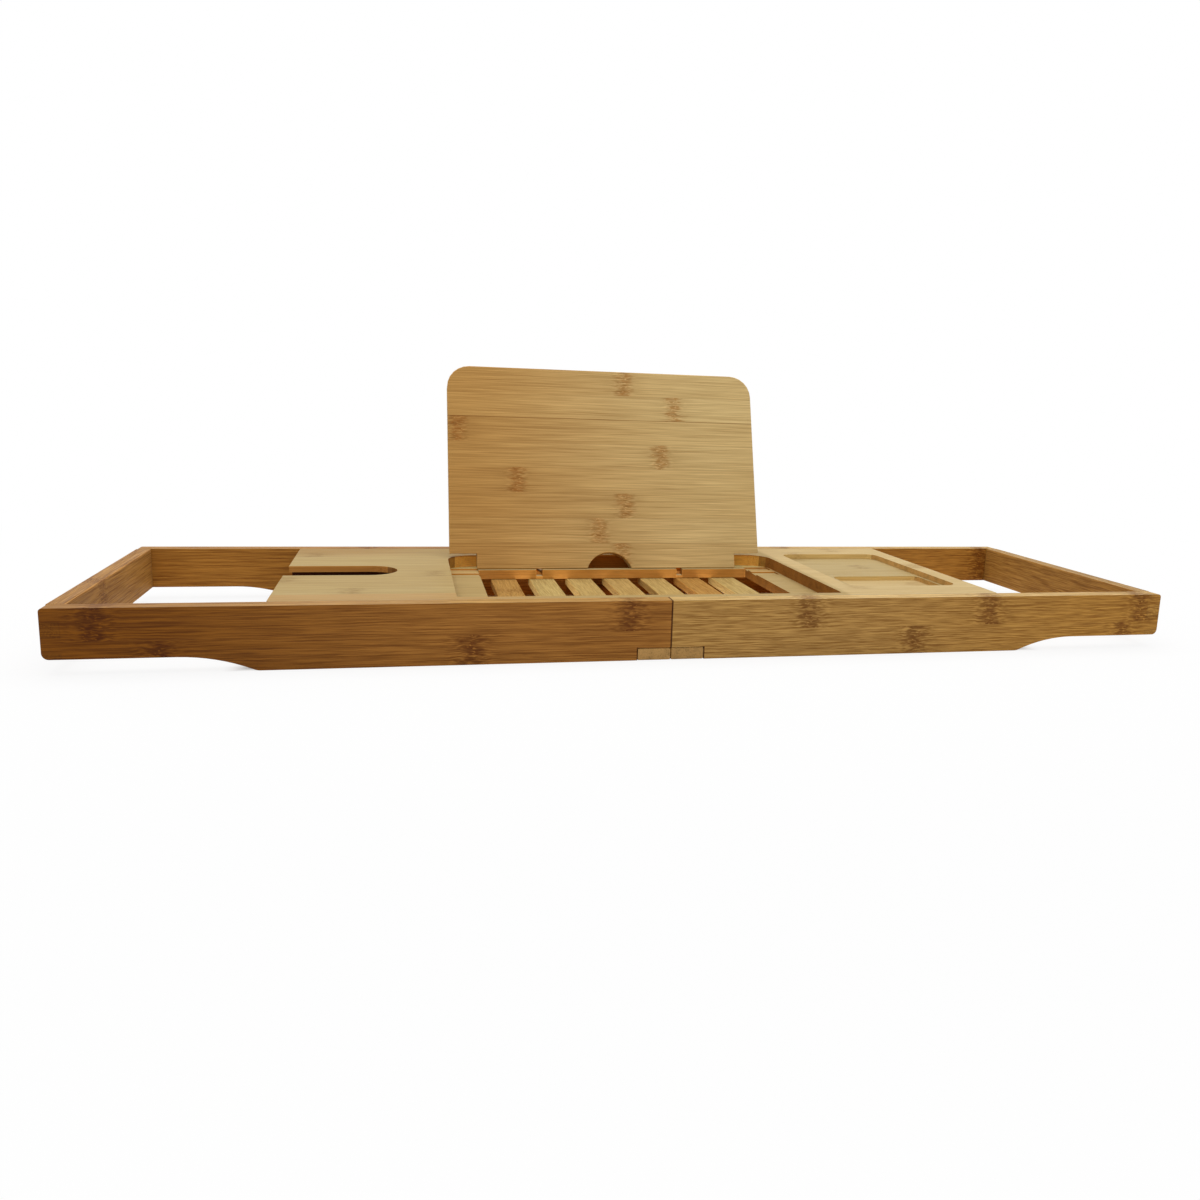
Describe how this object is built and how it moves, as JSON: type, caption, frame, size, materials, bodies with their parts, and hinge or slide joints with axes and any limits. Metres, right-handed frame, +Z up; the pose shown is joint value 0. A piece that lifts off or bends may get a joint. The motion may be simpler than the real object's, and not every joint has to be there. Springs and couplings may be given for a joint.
{
  "type": "bath caddy",
  "caption": "Extending bamboo bath caddy: a routed tray with glass slot, slatted well, soap recess and folding reading stand, between sliding arms.",
  "frame": {"origin": "middle of the closed caddy's bounding box, on the ground that its deep rails stand on", "axes": "+X along the caddy towards the arm at the reader's right, +Y away from the reader, +Z up"},
  "size_m": [0.75, 0.235, 0.1897],
  "materials": {
    "bamboo_tray": "satin clear coat",
    "bamboo_slat": "satin clear coat",
    "bamboo_rail_left": "satin clear coat",
    "bamboo_rail_right": "satin clear coat",
    "bamboo_board": "satin clear coat",
    "steel": "satin",
    "silicone": "matt"
  },
  "bodies": {
    "tray": {"tray_board": "bamboo_tray", "slat_1": "bamboo_slat", "slat_2": "bamboo_slat", "slat_3": "bamboo_slat", "slat_4": "bamboo_slat", "slat_5": "bamboo_slat", "slat_6": "bamboo_slat", "slat_7": "bamboo_slat", "tray_runner_front": "bamboo_tray", "tray_runner_back": "bamboo_tray", "stop_left_front": "bamboo_tray", "stop_left_back": "bamboo_tray", "stop_right_front": "bamboo_tray", "stop_right_back": "bamboo_tray", "prop_strap_left": "steel", "prop_strap_right": "steel"},
    "left_arm": {"left_rail_front": "bamboo_rail_left", "left_rail_back": "bamboo_rail_left", "left_end_bar": "bamboo_rail_left", "left_cross_bar": "bamboo_rail_left", "left_grip_front": "silicone", "left_grip_back": "silicone"},
    "right_arm": {"right_rail_front": "bamboo_rail_right", "right_rail_back": "bamboo_rail_right", "right_end_bar": "bamboo_rail_right", "right_cross_bar": "bamboo_rail_right", "right_grip_front": "silicone", "right_grip_back": "silicone"},
    "prop": {"prop_wire": "steel"},
    "stand": {"stand_board": "bamboo_board", "stand_lug_left": "steel", "stand_lug_right": "steel"}
  },
  "joints": [
    {"name": "left_arm_slide", "type": "slide", "parent": "tray", "child": "left_arm", "axis": [-1, 0, 0], "range_m": [0, 0.1736]},
    {"name": "right_arm_slide", "type": "slide", "parent": "tray", "child": "right_arm", "axis": [1, 0, 0], "range_m": [0, 0.1666]},
    {"name": "prop_fold", "type": "hinge", "parent": "tray", "child": "prop", "pos_m": [-0.0087, 0.066, 0.0281], "axis": [1, 0, 0], "range_deg": [0, 107.78]},
    {"name": "board_fold", "type": "hinge", "parent": "prop", "child": "stand", "pos_m": [-0.0087, 0.09096, 0.1056], "axis": [1, 0, 0], "range_deg": [-179.9, 0]}
  ],
  "couplings": [
    {"joint": "board_fold", "follows": "prop_fold", "ratio": -1.668}
  ]
}
